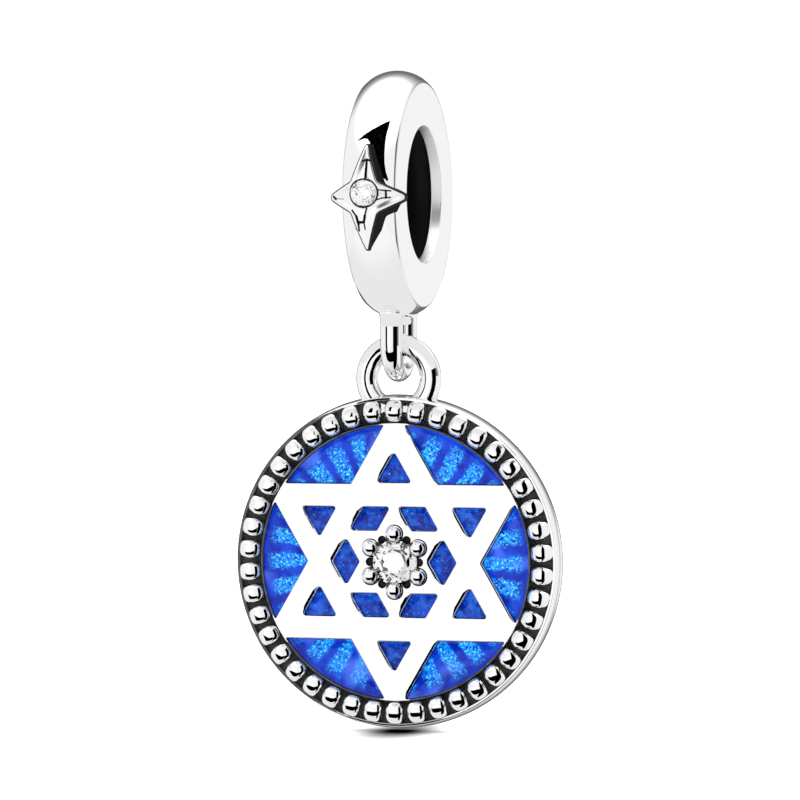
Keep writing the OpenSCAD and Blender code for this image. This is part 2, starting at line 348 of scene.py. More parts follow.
def makeFloor():
    half = studio["floorSize"] / 2
    z = discBottom - studio["floorDrop"]
    material, shader = newMaterial("paleFloor")
    # The floor's colour darkens to black round the disc's foot: a painted shadow, from ambient occlusion
    # inside an ellipse about the contact point. The floor also glows with this colour, which pales its
    # real shadows.
    openness = shader.node("ShaderNodeAmbientOcclusion", {"samples": studio["contactSamples"]},
                           {"Distance": studio["contactReach"] * mm}, "AO")
    x, y = shader.parts(shader.place(), "XY")
    across, deep = studio["contactSize"]
    spread = shader.step((x * x / across ** 2 + y * y / deep ** 2) ** 0.5, *studio["contactSoft"])
    paintedShadow = (1 - openness ** studio["contactPower"]) * spread
    tone = shader.mix(paintedShadow, grey(studio["floorColor"]), black)
    shader.finishSurface({"Base Color": tone, "Roughness": studio["floorRoughness"],
                          "Specular IOR Level": 0.0, "Emission Color": tone,
                          "Emission Strength": studio["floorGlow"]})
    corners = [(-half, -half, z), (half, -half, z), (half, half, z), (-half, half, z)]
    floor = newObject("floor", corners, [(0, 1, 2, 3)], [material])
    floor.visible_glossy = False
    floor.visible_transmission = False


def hideCard(card):      # from all but reflections and what glass shows
    card.visible_camera = False
    card.visible_diffuse = False
    card.visible_shadow = False


def makeCard(name, first, second, frontLevel, backLevel, fade):
    material, shader = newMaterial(name)
    level = shader.step(shader.parts(shader.place(), "Y")[0], *fade, frontLevel, backLevel)
    glow = shader.node("ShaderNodeEmission", {}, {"Color": white, "Strength": level})
    shader.node("ShaderNodeOutputMaterial", {}, {"Surface": glow})
    (x0, y0, z0), (x1, y1, z1) = first, second
    if z0 == z1:
        corners = [(x0, y0, z0), (x1, y0, z0), (x1, y1, z0), (x0, y1, z0)]
    else:
        corners = [(x0, y0, z0), (x1, y1, z0), (x1, y1, z1), (x0, y0, z1)]
    hideCard(newObject(name, corners, [(0, 1, 2, 3)], [material]))


makeStudio()
makeFloor()
for name, settings in cards.items():
    makeCard(name, *settings)
print("studio set")


# Materials. Noise settings are scale for each millimetre, detail, roughness and lacunarity. A
# pair whose name ends in From is where a smooth step starts and ends. Spread is what a noise adds
# to the roughness, and ripple, grain and facet are the heights of bumps in millimetres.

# Polished silver: white, with a faint unevenness from the polishing mop
silver = {"color": (0.955, 0.955, 0.95, 1), "shade": (0.93, 0.935, 0.94, 1), "wideNoise": (1.4, 3),
          "fineNoise": (60, 2), "roughness": 0.02, "spread": 0.025, "bump": 0.25, "ripple": 0.0006}


def makeSilver():
    material, shader = newMaterial("polishedSilver")
    wide = shader.noise(*silver["wideNoise"])
    fine = shader.noise(*silver["fineNoise"])
    shader.finishSurface({"Base Color": shader.mix(wide, silver["color"], silver["shade"]),
                          "Metallic": 1.0, "Roughness": silver["roughness"] + fine * silver["spread"],
                          "Normal": shader.bump(wide, silver["bump"], silver["ripple"])})
    return material


# Blackened silver in the groove and the notches, rubbed a little where it is proud
blackened = {"dark": (0.052, 0.051, 0.050, 1), "rubbed": (0.115, 0.114, 0.112, 1),
             "cloudNoise": (2.2, 4, 0.6), "grainNoise": (26, 3, 0.6), "cloudShare": 0.7,
             "rubbedFrom": (0.38, 0.66), "metallic": 0.2, "roughness": 0.5, "spread": 0.2,
             "bump": 0.5, "grain": 0.006}


def makeBlackened():
    material, shader = newMaterial("blackenedSilver")
    cloud = shader.noise(*blackened["cloudNoise"])
    grain = shader.noise(*blackened["grainNoise"])
    wear = cloud * blackened["cloudShare"] + grain * (1 - blackened["cloudShare"])
    tone = shader.mix(shader.step(wear, *blackened["rubbedFrom"]), blackened["dark"], blackened["rubbed"])
    shader.finishSurface({"Base Color": tone, "Metallic": blackened["metallic"],
                          "Roughness": blackened["roughness"] + grain * blackened["spread"],
                          "Normal": shader.bump(grain, blackened["bump"], blackened["grain"])})
    return material


# Silver inside the bore, worn satin by the bracelet
satin = {"color": (0.93, 0.93, 0.925, 1), "noise": (24, 3), "roughness": 0.30, "spread": 0.12,
         "bump": 0.2, "grain": 0.003}


def makeSatin():
    material, shader = newMaterial("satinSilver")
    grain = shader.noise(*satin["noise"])
    shader.finishSurface({"Base Color": satin["color"], "Metallic": 1.0,
                          "Roughness": satin["roughness"] + grain * satin["spread"],
                          "Normal": shader.bump(grain, satin["bump"], satin["grain"])})
    return material


# Painted shade, nearly black: for the hollow of the bail, where the metal only mirrors itself,
# and also for the star's rim, its collar and seat well, and the ledge round the centre stone
paintedShadeLook = {"dark": 0.008, "pale": 0.02, "noise": (0.8, 3), "metallic": 0.3, "roughness": 0.38,
          "spread": 0.1, "specular": 0.15}


def makePaintedShade():
    material, shader = newMaterial("paintedDarkShade")
    cloud = shader.noise(*paintedShadeLook["noise"])
    shader.finishSurface({"Base Color": shader.mix(cloud, grey(paintedShadeLook["dark"]), grey(paintedShadeLook["pale"])),
                          "Metallic": paintedShadeLook["metallic"], "Specular IOR Level": paintedShadeLook["specular"],
                          "Roughness": paintedShadeLook["roughness"] + cloud * paintedShadeLook["spread"]})
    return material


# The star's painted shadow on the band: its walls and the hem round them get a dark, dull skin
# from which no light comes back
starShadow = {"dark": 0.006, "pale": 0.014, "noise": (3.0, 2)}


def makeStarShadow():
    material, shader = newMaterial("paintedStarShadow")
    cloud = shader.noise(*starShadow["noise"])
    shader.finishSurface({"Base Color": shader.mix(cloud, grey(starShadow["dark"]), grey(starShadow["pale"])),
                          "Roughness": 1.0, "Specular IOR Level": 0.0})
    return material


# The skin of the star on the bail, with dark lines painted in the channels of its arms as painted
# shade. A line is x and z of both its ends, measured from the stone, and its half width.
paintedLines = {"line": 0.004, "soft": 0.010, "roughness": 0.28, "lineSpread": 0.2, "lines": [
    (0.06, 0.44, 0.06, 1.10, 0.046), (0.06, 1.135, -0.075, 1.085, 0.036),      # upper arm
    (0.06, 1.135, 0.195, 1.085, 0.036),
    (-0.40, -0.58, -0.26, -0.78, 0.030), (-0.26, -0.78, -0.20, -1.04, 0.044),      # lower arm
    (-0.20, -1.04, -0.19, -1.27, 0.032), (0.12, -0.50, 0.04, -0.76, 0.030),
    (0.04, -0.76, -0.01, -0.98, 0.044), (-0.01, -0.98, 0.01, -1.22, 0.026),
    (-0.19, -0.985, -0.02, -0.985, 0.046),
    (0.42, 0.12, 0.60, 0.095, 0.022), (0.60, 0.095, 0.88, 0.07, 0.026),      # right arm
    (0.40, -0.25, 0.60, -0.17, 0.022), (0.60, -0.17, 0.86, -0.15, 0.024),
    (0.73, 0.08, 0.73, -0.16, 0.034),
    (-1.19, -0.11, -1.08, -0.20, 0.040), (-1.08, -0.18, -0.76, -0.20, 0.010)]}      # left arm


def makePaintedLines():
    material, shader = newMaterial("silverWithPaintedLines")
    x, z = shader.parts(shader.place(), "XZ")
    clear = 1.0
    for x0, z0, x1, z1, half in paintedLines["lines"]:
        long, tall = x1 - x0, z1 - z0
        share = ((x - x0) * long + (z - z0) * tall) / (long ** 2 + tall ** 2)
        share = shader.node("ShaderNodeClamp", {}, {"Value": share})
        a, b = x - x0 - share * long, z - z0 - share * tall
        clear = shader.step((a * a + b * b) ** 0.5, half - paintedLines["soft"], half + paintedLines["soft"]) * clear
    shader.finishSurface({"Base Color": shader.mix(clear, grey(paintedLines["line"]), silver["color"]),
                          "Metallic": 1.0,
                          "Roughness": paintedLines["roughness"] + paintedLines["lineSpread"] * (1 - clear)})
    return material


# Clear cut stone. The small one has fine facets that the solid leaves out.
stoneLook = {"color": (0.985, 0.99, 1, 1), "ior": 2.1, "facetScale": 6.0, "bump": 0.3, "facet": 0.03}


def makeClear(name, fineFacets):
    material, shader = newMaterial(name)
    sockets = {"Base Color": stoneLook["color"], "Roughness": 0.0, "IOR": stoneLook["ior"],
               "Transmission Weight": 1.0}
    if fineFacets:
        cells = shader.node("ShaderNodeTexVoronoi", {"feature": "F1"},
                            {"Vector": shader.place(), "Scale": stoneLook["facetScale"]})
        sockets["Normal"] = shader.bump(cells, stoneLook["bump"], stoneLook["facet"])
    shader.finishSurface(sockets)
    return material


# Glass enamel over a hammered foil ground, whose brightest flecks are painted glints
glaze = {"cloudNoise": (1.6, 3, 0.55), "hammerNoise": (7.0, 2, 0.6, 2.3), "grainNoise": (12.0, 3, 0.7),
         "foil": (0.005, 0.24, 0.86, 1), "paintedGlint": (0.10, 0.74, 1.0, 1), "roughness": 0.06,
         "spread": 0.04, "ior": 1.33, "bump": 0.3, "ripple": 0.01}
# In the outer fields, with rays counted round the disc's centre, and a painted sheen in soft
# random patches
rayed = {"deep": (0.001, 0.014, 0.33, 1), "middle": (0.003, 0.05, 0.56, 1), "middleFrom": (0.35, 0.7),
         "rays": 30, "wander": 1.6, "ragged": 1.6, "rayFrom": (-0.75, 0.25), "innerFrom": (2.9, 3.4),
         "outerFrom": (4.7, 4.2), "foilFrom": (0.36, 0.60), "glintFrom": (0.53, 0.61),
         "paintedSheen": (0.10, 0.22, 0.95, 1), "sheenNoise": (0.9, 1), "sheenFrom": (0.52, 0.72),
         "sheenShare": 0.5}
# In the small cells, deeper, with a painted sheen ("glow") in random patches and single
# painted glints
plain = {"deep": (0.001, 0.010, 0.20, 1), "middle": (0.004, 0.06, 0.48, 1), "middleFrom": (0.38, 0.66),
         "cloudShare": 0.6, "glow": (0.03, 0.15, 0.74, 1), "glowNoise": (2.4, 1),
         "glowFrom": (0.5, 0.68), "glowShare": 0.5, "foilFrom": (0.56, 0.64),
         "foilHammerFrom": (0.44, 0.6), "foilShare": 0.85, "glintFrom": (0.64, 0.7),
         "glintHammerFrom": (0.5, 0.62)}


def rayedColor(shader, cloud, hammer, grain):
    x, z = shader.parts(shader.place(), "XZ")
    up = z - discZ
    radius = (x * x + up * up) ** 0.5
    wave = shader.calc("ARCTAN2", up, x) * rayed["rays"] + (cloud - 0.5) * rayed["wander"]
    ray = shader.calc("COSINE", wave) + (hammer - 0.5) * rayed["ragged"]
    patch = (shader.step(ray, *rayed["rayFrom"]) * shader.step(radius, *rayed["innerFrom"])
             * shader.step(radius, *rayed["outerFrom"]))
    color = shader.mix(shader.step(cloud, *rayed["middleFrom"]), rayed["deep"], rayed["middle"])
    color = shader.mix(patch * shader.step(hammer, *rayed["foilFrom"]), color, glaze["foil"])
    color = shader.mix(patch * shader.step(grain, *rayed["glintFrom"]), color, glaze["paintedGlint"])
    paintedSheen = shader.step(shader.noise(*rayed["sheenNoise"]), *rayed["sheenFrom"])
    return shader.mix(paintedSheen * rayed["sheenShare"], color, rayed["paintedSheen"])


def plainColor(shader, cloud, hammer, grain):
    ground = cloud * plain["cloudShare"] + hammer * (1 - plain["cloudShare"])
    color = shader.mix(shader.step(ground, *plain["middleFrom"]), plain["deep"], plain["middle"])
    glow = shader.step(shader.noise(*plain["glowNoise"]), *plain["glowFrom"])
    color = shader.mix(glow * plain["glowShare"], color, plain["glow"])
    foil = shader.step(grain, *plain["foilFrom"]) * shader.step(hammer, *plain["foilHammerFrom"])
    color = shader.mix(foil * plain["foilShare"], color, glaze["foil"])
    paintedGlint = shader.step(grain, *plain["glintFrom"]) * shader.step(hammer, *plain["glintHammerFrom"])
    return shader.mix(paintedGlint, color, glaze["paintedGlint"])


def makeEnamel(name, groundColor):
    material, shader = newMaterial(name)
    cloud = shader.noise(*glaze["cloudNoise"])
    hammer = shader.noise(*glaze["hammerNoise"])
    grain = shader.noise(*glaze["grainNoise"])
    shader.finishSurface({"Base Color": groundColor(shader, cloud, hammer, grain), "IOR": glaze["ior"],
                          "Roughness": glaze["roughness"] + cloud * glaze["spread"],
                          "Normal": shader.bump(cloud, glaze["bump"], glaze["ripple"])})
    return material


silverSkin = makeSilver()
blackSkin = makeBlackened()
satinSkin = makeSatin()
paintedShadeSkin = makePaintedShade()
starShadowSkin = makeStarShadow()
paintedLineSkin = makePaintedLines()
clearSkin = makeClear("clearStone", False)
smallClearSkin = makeClear("smallClearStone", True)
brightSkin = makeEnamel("brightEnamel", rayedColor)
deepSkin = makeEnamel("deepEnamel", plainColor)
print("materials made")

# The bail: a hollow band turned about the bore, with its star and the loop below it
bail = {"bore": 2.3, "width": 1.86, "face": 3.9, "crown": 4.28, "lip": 0.36, "flare": 0.07,
        "wall": 0.5, "edge": 0.16, "edgeRoom": 2, "lipEdge": 0.03, "crownSteps": 24, "steps": 288}


def bandPlace(r, h, a):
    return (h, -r * math.cos(a), r * math.sin(a))


# The crown is an arc across the band: half its width, its radius and how far out its middle is
def crownArc():
    half = bail["width"] / 2
    arc = arcRadius(half, bail["crown"] - bail["face"])
    return half, arc, bail["crown"] - arc


def crownHeight(x, z):      # how far the crown stands forward
    half, arc, middle = crownArc()
    radius = middle + math.sqrt(arc ** 2 - min(abs(x), half) ** 2)
    return math.sqrt(radius ** 2 - z ** 2)


# The dark card that the band mirrors above its star. "edge" is the edge of that dark patch in
# pixels of the photo, read with the camera at this shift and roll. The card is flat, square
# to the direction "middle", and at "distance" from the point "from".
hood = {
    "from": (0.2, -4.1, 2.0), "distance": 12.0, "middle": (5, 48),
    "photoSize": 800, "right": 0.09, "roll": -0.3, "tries": 60,
    "edge": [
        (355, 141.5), (360, 136.5), (366.25, 132), (373.75, 127.5), (380, 124), (388, 120.75),
        (387, 125.5), (384.5, 133.75), (383, 142.5), (382.25, 152.5), (382.25, 162.5),
        (383.75, 172.5), (387.5, 180), (385.5, 181.5), (380, 177.5), (373.75, 170), (370.75, 160),
        (369, 150), (367.5, 142.5), (365, 139), (362, 138.75), (358.75, 140)],
}


# Where a look from this place meets the crown, and which way the crown faces there
def meetCrown(place, way):
    half, arc, middle = crownArc()
    for _ in range(hood["tries"]):
        out = place - Vector((0, place.y, place.z)).normalized() * middle
        place = place + way * (out.length - arc)
    return place, out.normalized()


def makeHood():
    material, shader = newMaterial("cardHood")
    shader.finishSurface({"Base Color": black, "Roughness": 1.0, "Specular IOR Level": 0.0})
    right, up, back = cameraAxes()
    aim = right * hood["right"] - up * view["down"]
    eye = aim + back * view["distance"]
    roll = math.radians(hood["roll"])
    across = right * math.cos(roll) + up * math.sin(roll)
    upright = up * math.cos(roll) - right * math.sin(roll)
    middle = direction(*hood["middle"])
    corners = []
    for px, py in hood["edge"]:
        x = (px / hood["photoSize"] - 0.5) * view["frameWidth"]
        y = (0.5 - py / hood["photoSize"]) * view["frameWidth"]
        way = (aim + across * x + upright * y - eye).normalized()
        place, face = meetCrown(eye, way)
        mirrored = way.reflect(face)
        rest = hood["distance"] - (place - Vector(hood["from"])).dot(middle)
        corners.append(place + mirrored * (rest / mirrored.dot(middle)))
    hideCard(newObject("cardHood", corners, [tuple(range(len(corners)))], [material]))


makeHood()


def makeBand():
    outside, inside, bore = range(3)      # the slots of the skins below
    half, arc, middle = crownArc()
    spread = math.asin(half / arc)
    lip = half - bail["lip"]
    roof = middle + math.sqrt((arc - bail["wall"]) ** 2 - lip ** 2)
    mouth = bail["bore"] + bail["flare"]
    corners = [(bail["bore"], lip, bail["lipEdge"], bore), (mouth, half, bail["lipEdge"], outside)]
    for k in range(bail["crownSteps"] + 1):
        a = spread * (1 - 2 * k / bail["crownSteps"])
        fromEdge = min(k, bail["crownSteps"] - k)
        if 0 < fromEdge <= bail["edgeRoom"]:
            continue
        edge = 0 if fromEdge else bail["edge"]
        corners.append((middle + arc * math.cos(a), arc * math.sin(a), edge, outside))
    corners += [(mouth, -half, bail["lipEdge"], bore), (bail["bore"], -lip, bail["lipEdge"], inside),
                (roof, -lip, 0, inside), (roof, lip, 0, inside)]
    outline, slots = roundOutline(corners)
    return lathe("band", outline, slots, bandPlace, bail["steps"], [silverSkin, paintedShadeSkin, satinSkin])


# The four-pointed star. Its tips are (reach, rounding), and the corners between them (x, z,
# rounding). Fall is how far it falls away towards its side tips and its upper and lower tips.
# Channels lie between the ridges at its outline and the stone.
# A band of width "rim" inside its outline, a "collar" round the stone's seat and the seat's well are
# painted dark as shade, and its walls carry its painted shadow on the band.
spark = {"height": 3.62, "width": 2.66, "drop": 0.14, "rise": 0.42, "fall": (0.80, 0.63), "fallPower": 1.8,
         "side": (1.53, 0.16), "inner": (0.49, 0.54, 0.22), "tip": (1.98, 0.08), "roundSteps": 10,
         "spacing": 0.028, "rings": 70, "crowding": 1.5, "edge": 0.07, "rim": 0.052,
         "ridge": 0.085, "slope": 0.19, "channel": 0.08, "stone": 0.88, "seatGap": 0.02,
         "seatSlope": 0.07, "seatShare": 0.35, "seatDrop": 0.5, "collar": 0.05, "skirt": 0.56}
# Its dark hem, the foot of its walls pushed out to the right and up so that its painted shadow
# shows there: how far it reaches right and up, how far right of the middle the latter is full,
# where it ends and over which stretch it dwindles there, at the sides and at the foot, and how it
# sinks into the band
shadowHem = {"reach": (0.17, -0.10), "start": 0.15, "side": (1.08, 0.3), "foot": (1.85, 0.7), "sink": 0.015,
       "overhang": 0.3, "least": 0.02}


def sparkOutline():      # with points close enough together for a smooth skin
    (side, sideRound), (u, v, innerRound), (tip, tipRound) = spark["side"], spark["inner"], spark["tip"]
    corners = [(side, 0, sideRound, 0), (u, v, innerRound, 0), (0, tip, tipRound, 0),
               (-u, v, innerRound, 0), (-side, 0, sideRound, 0), (-u, -v, innerRound, 0),
               (0, -tip, tipRound, 0), (u, -v, innerRound, 0)]
    points = [np.array(p) for p in roundOutline(corners, spark["roundSteps"])[0]]
    outline = []
    for k, p in enumerate(points):
        way = points[(k + 1) % len(points)] - p
        parts = max(1, math.ceil(np.linalg.norm(way) / spark["spacing"]))
        outline += [p + way * i / parts for i in range(parts)]
    return np.array(outline) - (0, spark["drop"])


def edgeGap(outline, sides, point):      # the least distance from a closed outline
    along = ((point - outline) * sides).sum(1) / (sides ** 2).sum(1)
    near = outline + np.clip(along, 0, 1)[:, None] * sides
    return np.sqrt(((near - point) ** 2).sum(1)).min()


def sparkShadowHem(outline, foot):
    points = []
    for x, z in outline:
        share = clamp((shadowHem["side"][0] - abs(x)) / shadowHem["side"][1])
        share *= clamp((shadowHem["foot"][0] + z) / shadowHem["foot"][1])
        z += share * shadowHem["reach"][1] * clamp(x / shadowHem["start"])
        x += share * shadowHem["reach"][0]
        over = max(abs(x) - bail["width"] / 2, 0)
        forward = crownHeight(x, z) - shadowHem["sink"] - shadowHem["overhang"] * over
        points.append((x, -max(foot + shadowHem["least"], forward), z))
    return points


def sparkHeight(x, z, gap, seat):
    height = bail["crown"] + spark["rise"]
    for fall, place, size in zip(spark["fall"], (x, z + spark["drop"]), (spark["width"], spark["height"])):
        height -= fall * (2 * abs(place) / size) ** spark["fallPower"]
    edge = max(spark["edge"] - gap, 0)
    height -= spark["edge"] - math.sqrt(spark["edge"] ** 2 - edge ** 2)
    depth = ease((gap - spark["ridge"]) / spark["slope"])
    beside = ease((math.hypot(x, z) - seat) / spark["seatSlope"])
    return height - spark["channel"] * depth * (spark["seatShare"] + (1 - spark["seatShare"]) * beside)


def makeSpark():
    skin, rim, starShadowSlot = range(3)      # the slots of the skins below
    outline = sparkOutline()
    sides = np.roll(outline, -1, 0) - outline
    count = len(outline)
    seat = spark["stone"] / 2 + spark["seatGap"]
    circle = np.array([seat * unit(math.atan2(z, x)) for x, z in outline])
    foot = bail["crown"] - spark["skirt"]
    base = sparkShadowHem(outline, foot)
    verts = [(x, -foot, z) for x, y, z in base] + base
    gaps = [1.0] * len(verts)
    for k in range(spark["rings"] + 1):
        share = 1 - (k / spark["rings"]) ** spark["crowding"]
        for x, z in circle + (outline - circle) * share:
            gap = edgeGap(outline, sides, (x, z))
            verts.append((x, -sparkHeight(x, z, gap, seat), z))
            gaps.append(gap)
    bottom = bail["crown"] + spark["rise"] - spark["seatDrop"]
    verts += [(x, -bottom, z) for x, z in circle]
    gaps += [1.0] * count
    faces, slots = [], []
    rows = spark["rings"] + 3
    for k in range(rows):
        for face in strip(k * count, (k + 1) * count, count):
            x, z = [sum(verts[v][axis] for v in face) / 4 for axis in (0, 2)]
            gap = sum(gaps[v] for v in face) / 4
            # painted shade on the rim, the collar and the seat's well; the first two rows, the walls, take
            # the painted shadow
            dark = k == rows - 1 or gap < spark["rim"] or math.hypot(x, z) < seat + spark["collar"]
            faces.append(face)
            slots.append(starShadowSlot if k < 2 else rim if dark else skin)
    faces += [tuple(range(count)), tuple(range(rows * count, (rows + 1) * count))]
    slots += [skin, skin]
    return newObject("spark", verts, faces, [paintedLineSkin, paintedShadeSkin, starShadowSkin], slots)


loop = {"wire": 0.74, "gap": 1.36, "leg": 0.8, "flare": 0.05, "flareLength": 0.12, "legSteps": 16,
        "bowSteps": 64}


def makeLoop():
    middle = (loop["gap"] + loop["wire"]) / 2
    z = -(bail["crown"] + loop["leg"])
    foot = -(bail["crown"] - bail["wall"] / 2)
    rise = [foot + (z - foot) * k / loop["legSteps"] for k in range(loop["legSteps"])]
    bow = np.linspace(0, math.pi, loop["bowSteps"])
    path = [(0, middle, h) for h in rise]
    path += [(0, middle * math.cos(a), z - middle * math.sin(a)) for a in bow]
    path += [(0, -middle, h) for h in rise[::-1]]
    seam = -math.sqrt(bail["crown"] ** 2 - middle ** 2)
    radii = [loop["wire"] / 2 + loop["flare"] * math.exp(min(0, h - seam) / loop["flareLength"])
             for x, y, h in path]
    return tube("loop", path, radii, (1, 0, 0), [silverSkin])


bailBody = joinAll("bailSilver", [makeBand(), makeSpark(), makeLoop()])
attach(bailBody, "bail")
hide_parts("bail")
print("bail made")

# The disc. Heights are measured from its back.
disc = {"radius": 5.8, "thick": 1.1, "bulge": 0.1, "bulgeSteps": 16, "lip": 0.1, "groove": 0.78,
        "grooveDepth": 0.25, "fence": 0.05, "starRise": 0.1, "cellDepth": 0.48, "wallLean": 0.02,
        "backEdge": 0.12, "frontEdge": 0.03, "lipEdge": 0.02, "grooveEdge": 0.05, "axis": 0.0001,
        "axisRing": 0.02, "steps": 360, "darkSide": -0.2, "darkSlant": 0.3, "darkFrom": -0.1,
        "darkDepth": 0.02}
grooveOut = disc["radius"] - disc["bulge"] - disc["lip"]
grooveIn = grooveOut - disc["groove"]
cellRadius = grooveIn - disc["fence"]
starTop = disc["thick"] + disc["starRise"]
cellFloor = starTop - disc["cellDepth"]


def discPlace(r, h, a):
    return (r * math.cos(a), discBack - h, discZ + r * math.sin(a))


def discPoint(x, y, h):
    return (x, discBack - h, discZ + y)


# Slot 1 is the blackened one here and in the star plate
def makeDiscBody():
    half, thick = disc["thick"] / 2, disc["thick"]
    arc = arcRadius(half, disc["bulge"])
    middle = disc["radius"] - arc
    spread = math.asin(half / arc)
    side = disc["radius"] - disc["bulge"]
    floor = thick - disc["grooveDepth"]
    corners = [(disc["axis"], 0, 0, 0), (disc["axisRing"], 0, 0, 0), (side, 0, disc["backEdge"], 0)]
    for k in range(1, disc["bulgeSteps"]):
        a = spread * (2 * k / disc["bulgeSteps"] - 1)
        if abs(arc * math.sin(a)) < half - disc["backEdge"]:
            corners.append((middle + arc * math.cos(a), half + arc * math.sin(a), 0, 0))
    corners += [(side, thick, disc["frontEdge"], 0), (grooveOut + disc["lip"] / 2, thick, 0, 0),
                (grooveOut, thick, disc["lipEdge"], 1), (grooveOut, floor, disc["grooveEdge"], 1),
                (grooveIn, floor, 0, 1), (grooveIn - disc["wallLean"], cellFloor, 0, 0),
                (disc["axisRing"], cellFloor, 0, 0), (disc["axis"], cellFloor, 0, 0)]
    outline, slots = roundOutline(corners)
    body = lathe("discBody", outline, slots, discPlace, disc["steps"], [silverSkin, blackSkin])
    for face in body.data.polygons:      # painted shade: the blackened skin also covers the lip on the left
        x, y, z = face.center / mm
        reach = math.hypot(x, z - discZ)
        share = (reach - grooveOut) / disc["lip"]
        paintedDarkLip = share > disc["darkFrom"] and discBack - y > thick - disc["darkDepth"]
        if paintedDarkLip and x / reach < disc["darkSide"] - disc["darkSlant"] * share:
            face.material_index = 1
    return body


# The star plate: three kinds of cells inside a thin fence. Bevels are the widths of the rounded
# edges round them, which stay narrow beside the fence.
cellKinds = ("segment", "triangle", "lozenge")
star = {"out": 2.7, "bar": 0.74, "small": 1.04, "cells": 6, "steps": 6, "edgeSteps": 14,
        "round": {"segment": 0.035, "triangle": 0.07, "lozenge": 0.08},
        "inset": {"segment": 0.0, "triangle": 0.05, "lozenge": 0.045},
        "bevel": {"segment": 0.10, "triangle": 0.15, "lozenge": 0.18},
        "thinBevel": 0.03, "leastBevel": 0.012, "bevelSide": (0.3, 0.8), "taper": 0.5,
        "fenceBevel": 0.02, "fenceNear": 0.02, "fenceRoom": 0.02, "fenceShare": 0.8,
        "flatRing": 0.006, "wallSink": 0.03, "tipFrom": 24, "tipNear": 0.005}


def starCorner(a, b):
    return ((a + b) / (2 * math.cos(math.pi / 6)), a - b)


# The middles of the round corners of the cell on the +X side, anticlockwise, as in the solids
def cornerMiddles(kind, inset):
    r = star["round"][kind] + inset
    outer, inner, small = star["out"] + r, star["out"] - star["bar"] - r, star["small"] + r
    if kind == "segment":
        far = cellRadius - r
        spread = math.acos(outer / far) - math.pi / 6
        up = (far * math.cos(spread), far * math.sin(spread))
        return [starCorner(outer, outer), (up[0], -up[1]), up]
    if kind == "triangle":
        base = (inner - outer / 2) / math.sin(math.pi / 3)
        return [(outer, -base), (2 * inner, 0), (outer, base)]
    return [starCorner(small, small), starCorner(small, inner), starCorner(inner, inner),
            starCorner(inner, small)]


# The outline of a cell with its outward direction at each point, evenly enough spaced for
# bevels. A segment's outer side is an arc about the disc's centre.
def cellOutline(kind, clearance=0.0):
    inset = star["inset"][kind] + clearance
    middles = [np.array(m) for m in cornerMiddles(kind, inset)]
    r = star["round"][kind]
    count = len(middles)
    normals = []
    for k, m in enumerate(middles):
        way = middles[(k + 1) % count] - m
        normals.append(math.atan2(-way[0], way[1]))
    outline = []
    for k, m in enumerate(middles):
        start, end = normals[k - 1], normals[k]
        aim = math.atan2(m[1], m[0])
        if kind == "segment" and k == 1:
            end = aim
        if kind == "segment" and k == 2:
            start = aim
        while end < start:
            end += fullTurn
        for a in np.linspace(start, end, star["steps"] + 1):
            outline.append((m + unit(a) * r, unit(a)))
        if kind == "segment" and k == 1:
            for a in np.linspace(aim, -aim, 3 * star["edgeSteps"])[1:-1]:
                outline.append((unit(a) * (cellRadius - inset), unit(a)))
        else:
            way = unit(normals[k])
            for t in np.linspace(0, 1, star["edgeSteps"])[1:-1]:
                outline.append((m + (middles[(k + 1) % count] - m) * t + way * r, way))
    return outline


def turned(point, degrees):
    a = math.radians(degrees)
    return np.array([point[0] * math.cos(a) - point[1] * math.sin(a),
                     point[0] * math.sin(a) + point[1] * math.cos(a)])


def cellTurn(kind, number):
    return 60 * (number - 1) + (30 if kind == "triangle" else 0)


# Six claws, with a notch between each two. The crease is the gap round a claw.
claws = {"count": 6, "radius": 0.29, "reach": 0.99, "inward": 1.1, "lift": 0.05, "rings": 20, "sides": 32,
         "notch": 0.15, "notchReach": 0.875, "seat": 0.80, "seatSteps": 360, "crease": 0.025}


# How far out the edge of the round at this angle is, where rounds stand in a ring about the
# stone, one of them at start
def scallop(angle, start, centre, radius):
    step = fullTurn / claws["count"]
    off = (angle - start + step / 2) % step - step / 2
    side = centre * math.sin(off)
    return centre * math.cos(off) + math.sqrt(radius ** 2 - side ** 2) if abs(side) < radius else 0


# The scalloped opening round the centre stone, with its outward directions
def seatOutline():
    steps = claws["seatSteps"]
    points = []
    for k in range(steps):
        a = fullTurn * k / steps
        notch = scallop(a, 0, claws["notchReach"], claws["notch"])
        claw = scallop(a, math.pi / 2, claws["reach"], claws["radius"] + claws["crease"])
        points.append(max(claws["seat"], notch, claw) * unit(a))
    outline = []
    for k, p in enumerate(points):
        way = points[(k + 1) % steps] - points[k - 1]
        way = np.array([way[1], -way[0]])
        outline.append((p, way / np.linalg.norm(way)))
    return outline


# The width of a cell's rounded edge at each point: broad on its left and thin elsewhere, less
# towards a corner, and with room left beside the fence
def cellBevels(kind, outline):
    low, high = star["bevelSide"]
    bevels = []
    for p, way in outline:
        share = clamp((-way[0] - low) / (high - low))
        atFence = kind == "segment" and np.linalg.norm(p) > cellRadius - star["fenceNear"]
        bevels.append(star["fenceBevel"] if atFence else
                      star["thinBevel"] + (star["bevel"][kind] - star["thinBevel"]) * share)
    spots = np.array([p for p, way in outline])
    bevels = [(np.array(bevels) + star["taper"] * np.linalg.norm(spots - p, axis=1)).min() for p in spots]
    limit = grooveIn - star["fenceBevel"] - star["fenceRoom"]
    return [min(b, max(star["leastBevel"], star["fenceShare"] * (limit - np.linalg.norm(p))))
            for p, b in zip(spots, bevels)]


